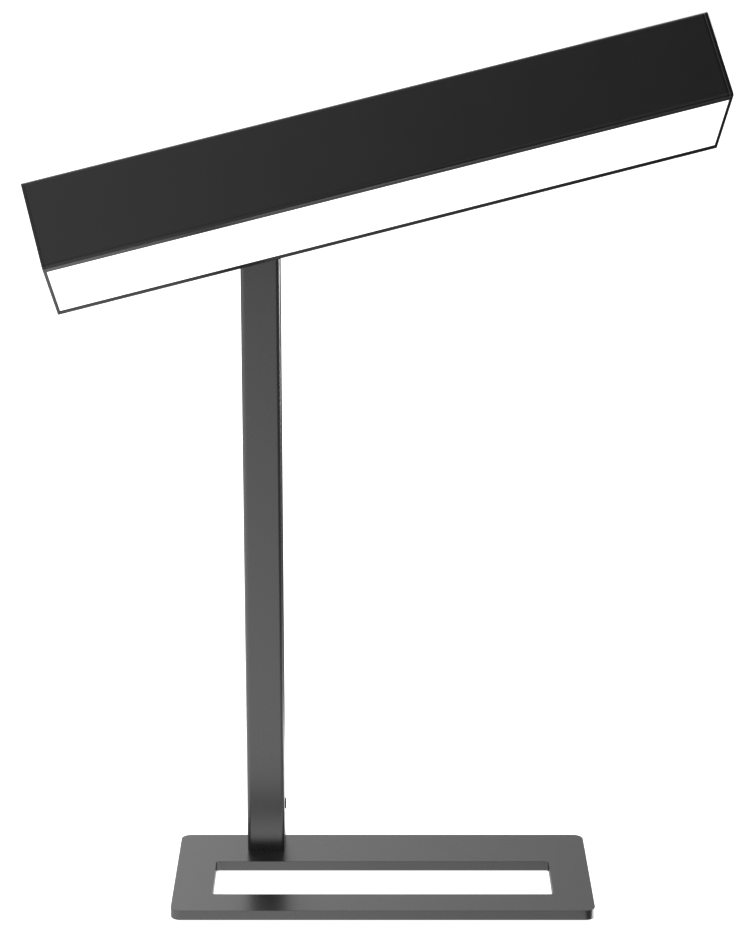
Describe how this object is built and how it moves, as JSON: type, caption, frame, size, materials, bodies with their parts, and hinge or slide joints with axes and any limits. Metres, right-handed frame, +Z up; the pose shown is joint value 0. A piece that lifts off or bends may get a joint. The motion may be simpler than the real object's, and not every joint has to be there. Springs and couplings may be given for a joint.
{
  "type": "light therapy lamp",
  "caption": "Desk light therapy lamp: slotted rectangular base plate, square column with a push button, and a long box head with an opal light face on a tilt and swivel joint.",
  "frame": {"origin": "middle of the base plate, on the surface the lamp stands on", "axes": "+X to the right along the base plate's long side, +Y to the rear where the column stands, +Z up; the light face looks down and towards -Y at rest"},
  "size_m": [0.3936, 0.1474, 0.524],
  "materials": {
    "dark_paint": "satin powder coat, very dark grey",
    "black_paint": "extrusion, fine satin black anodised",
    "dark_alloy": "satin black die casting",
    "black_steel": "black oxide",
    "zinc_steel": "zinc plated",
    "cast_block": "machined",
    "bare_aluminium": "mill finish",
    "brass": "turned",
    "rubber": "matt",
    "black_plastic": "moulded",
    "white_plastic": "moulded, matt white",
    "white_board": "white solder mask",
    "circuit_board": "green solder mask",
    "led_package": "yellow phosphor",
    "lens_plastic": "smoked grey light pipe",
    "button_plastic": "polished black",
    "black_sleeve": "soft sleeve",
    "opal_acrylic": "opal, satin"
  },
  "bodies": {
    "stand": {"base_plate": "dark_paint", "foot_pads": "rubber", "base_screws": "zinc_steel", "column_foot_block": "cast_block", "column": "dark_paint", "column_screws": "black_steel", "yoke": "dark_alloy", "tilt_pin": "black_steel", "tilt_nut": "black_steel", "tilt_washers": "white_plastic", "switch_body": "black_plastic", "control_board": "circuit_board", "indicator_led": "led_package", "indicator_lens": "lens_plastic", "board_carrier": "black_plastic", "power_inlet": "black_plastic", "inlet_nut": "zinc_steel", "inlet_lead": "black_sleeve", "column_lead": "black_sleeve"},
    "tilt_knuckle": {"knuckle": "dark_alloy", "swivel_spindle": "zinc_steel", "swivel_outer_washer": "white_plastic", "swivel_inner_washer": "white_plastic", "swivel_spring_washer": "zinc_steel", "swivel_nut": "zinc_steel"},
    "head": {"head_shell": "black_paint", "end_cap_left": "black_paint", "end_cap_right": "black_paint", "end_cap_screws": "black_steel", "swivel_plate": "zinc_steel", "swivel_plate_rivets": "black_steel", "diffuser": "opal_acrylic", "reflector_tray": "white_plastic", "heat_plate": "bare_aluminium", "led_boards": "white_board", "led_chips": "led_package", "driver_board": "circuit_board", "driver_standoffs": "brass", "driver_screws": "zinc_steel", "driver_coil": "black_plastic", "driver_capacitors": "black_plastic", "driver_connector": "white_plastic", "head_lead": "black_sleeve"},
    "button": {"power_button": "button_plastic", "switch_plunger": "white_plastic"}
  },
  "joints": [
    {"name": "head_tilt", "type": "hinge", "parent": "stand", "child": "tilt_knuckle", "pos_m": [-0.0716, 0.0437, 0.3925], "axis": [1, 0, 0], "range_deg": [-59, 30]},
    {"name": "head_swivel", "type": "hinge", "parent": "tilt_knuckle", "child": "head", "pos_m": [-0.0716, 0.02905, 0.40111], "axis": [0, -0.8621, 0.5068], "range_deg": [-105, 75]},
    {"name": "power_press", "type": "slide", "parent": "stand", "child": "button", "axis": [-1, 0, 0], "range_m": [0, 0.0005], "stiffness_N_per_m": 2400, "springref_m": -0.0003}
  ]
}
